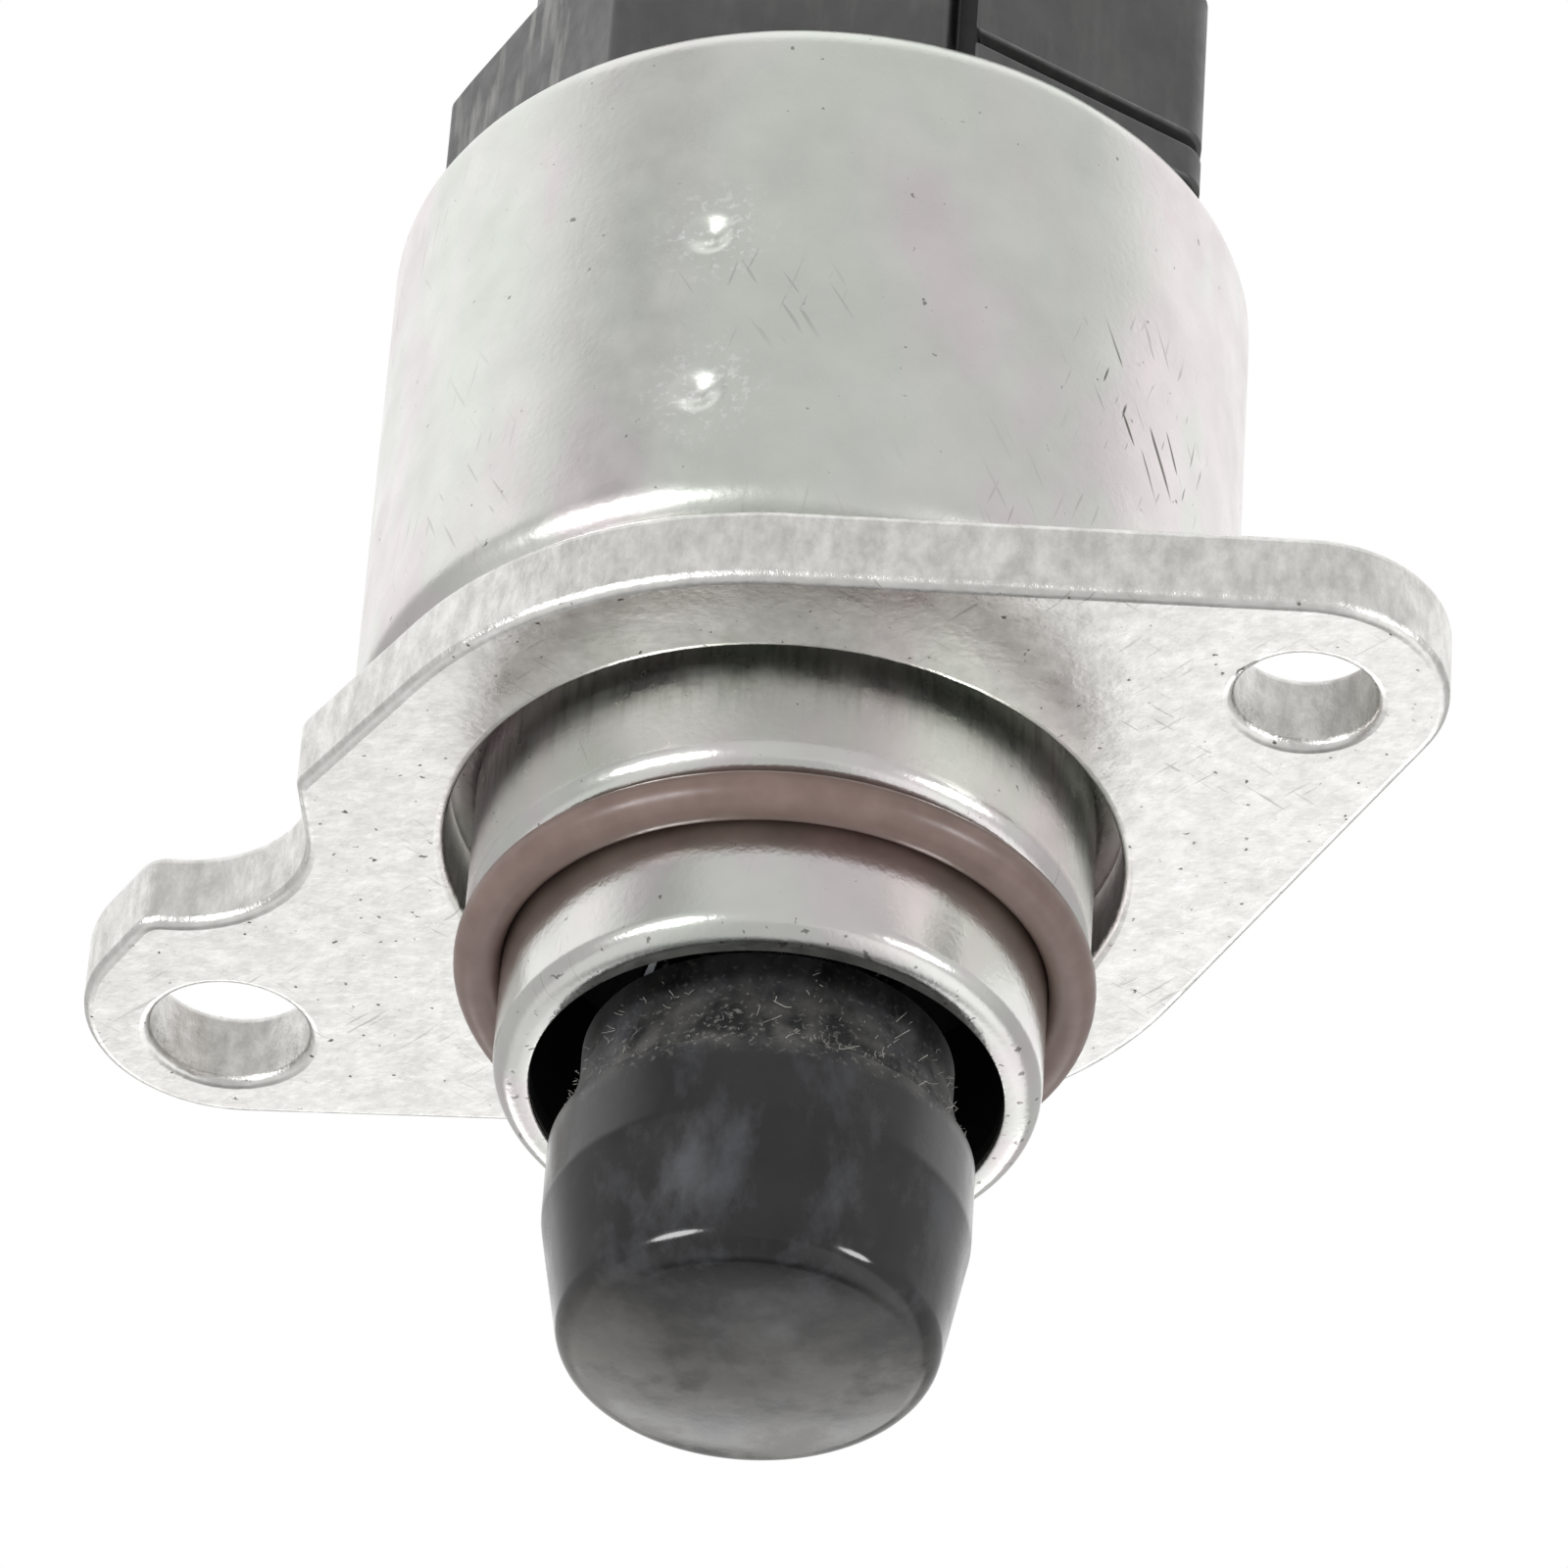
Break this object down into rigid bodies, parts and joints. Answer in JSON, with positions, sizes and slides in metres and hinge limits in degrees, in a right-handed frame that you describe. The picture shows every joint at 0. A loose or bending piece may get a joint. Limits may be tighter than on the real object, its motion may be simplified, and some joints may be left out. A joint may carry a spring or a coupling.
{
  "type": "idle air control valve",
  "caption": "Stepper-driven idle air control valve: drawn steel can on an eared flange, sealed nose with a sliding pintle, and a plug socket on its cap.",
  "frame": {"origin": "on the valve axis, in the plane of the flange's mounting face", "axes": "+Z along the valve axis towards the plug socket, -Z along the nose and pintle; +X along the socket's long side; the cap's front face looks to -Y"},
  "size_m": [0.0558, 0.0344, 0.0756],
  "materials": {
    "drawn_zinc_steel": "satin bright zinc with faint pink and green tints",
    "flange_zinc_steel": "satin bright zinc, nearly white, with dark specks",
    "o_ring_rubber": "satin brown-mauve rubber",
    "pintle_plastic": "satin black moulded plastic with light dust",
    "screw_steel": "rolled bright steel thread",
    "spring_steel": "drawn spring wire and strip",
    "natural_plastic": "natural moulded plastic",
    "guide_plastic": "dark moulded bearing plastic",
    "bearing_steel": "ground bearing steel",
    "bronze": "sintered and stamped bronze",
    "ferrite": "dark grey moulded ferrite",
    "copper_wire": "enamelled copper wire, wound in layers",
    "pole_steel": "stamped bright zinc steel",
    "seal_rubber": "satin black rubber",
    "cap_plastic": "charcoal moulded plastic with fine scuffs",
    "tinned_brass": "tin-plated brass blades"
  },
  "bodies": {
    "housing": {"motor_can": "drawn_zinc_steel", "mounting_flange": "flange_zinc_steel", "nose_o_ring": "o_ring_rubber", "guide_bush": "guide_plastic", "bearing_outer_race": "bearing_steel", "pintle_spring": "spring_steel", "wave_washer": "spring_steel", "rear_bush": "bronze", "front_outer_pole_plate": "pole_steel", "front_bobbin": "natural_plastic", "front_winding": "copper_wire", "front_inner_pole_plate": "pole_steel", "rear_inner_pole_plate": "pole_steel", "rear_bobbin": "natural_plastic", "rear_winding": "copper_wire", "rear_outer_pole_plate": "pole_steel", "end_seal": "seal_rubber", "connector_housing": "cap_plastic", "terminal_1": "tinned_brass", "terminal_2": "tinned_brass", "terminal_3": "tinned_brass", "terminal_4": "tinned_brass"},
    "rotor": {"rotor_hub": "natural_plastic", "rotor_magnet": "ferrite", "bearing_inner_race": "bearing_steel"},
    "ball_set": {"bearing_balls": "bearing_steel", "ball_cage": "bronze"},
    "pintle": {"pintle_head": "pintle_plastic", "lead_screw": "screw_steel"}
  },
  "joints": [
    {"name": "rotor_spin", "type": "hinge", "parent": "housing", "child": "rotor", "pos_m": [0, 0, 0.013], "axis": [0, 0, 1], "range_deg": [-3150, 900]},
    {"name": "ball_orbit", "type": "hinge", "parent": "housing", "child": "ball_set", "pos_m": [0, 0, 0.00125], "axis": [0, 0, 1], "range_deg": [-1301, 372]},
    {"name": "pintle_slide", "type": "slide", "parent": "housing", "child": "pintle", "axis": [0, 0, -1], "range_m": [-0.007, 0.002], "deforming": ["pintle_spring"]}
  ],
  "couplings": [
    {"joint": "pintle_slide", "follows": "rotor_spin", "m_per_rad": 0.00012732},
    {"joint": "ball_orbit", "follows": "rotor_spin", "ratio": 0.4129}
  ]
}
